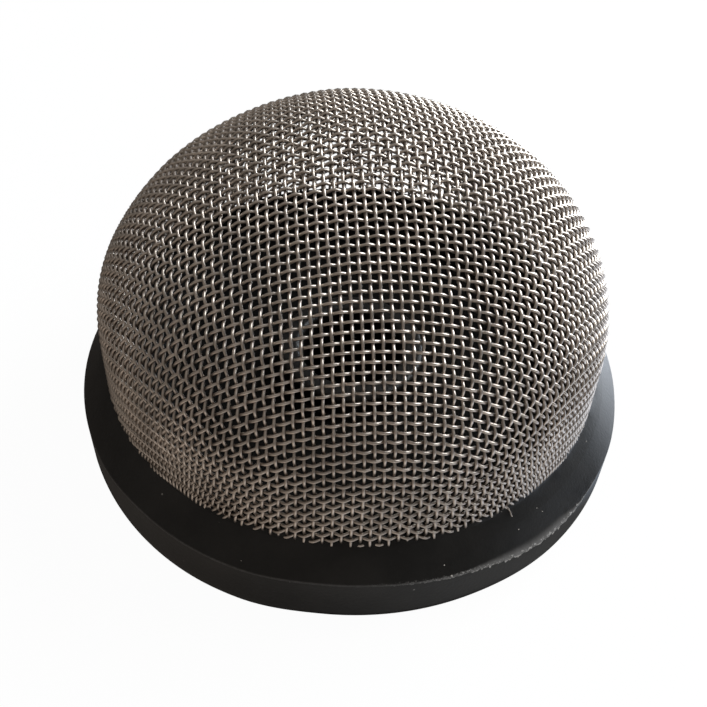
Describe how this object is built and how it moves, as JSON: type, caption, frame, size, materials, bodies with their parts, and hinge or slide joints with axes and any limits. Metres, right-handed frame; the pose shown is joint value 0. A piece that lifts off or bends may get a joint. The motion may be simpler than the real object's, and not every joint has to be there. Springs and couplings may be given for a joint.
{
  "type": "filter screen",
  "caption": "Dome of plain-woven wire cloth moulded into a round black rubber base with a collared bore, for straining a fluid at a pipe end.",
  "frame": {"origin": "on the axis of the dome, at the flat bottom of the rubber base", "axes": "+Z along the axis, from the flat bottom up through the top of the dome"},
  "size_m": [0.0542, 0.0542, 0.0321],
  "materials": {
    "wire_cloth": "satin",
    "rubber": "matte"
  },
  "bodies": {
    "root": {"mesh_dome": "wire_cloth", "rubber_base": "rubber"}
  },
  "joints": []
}
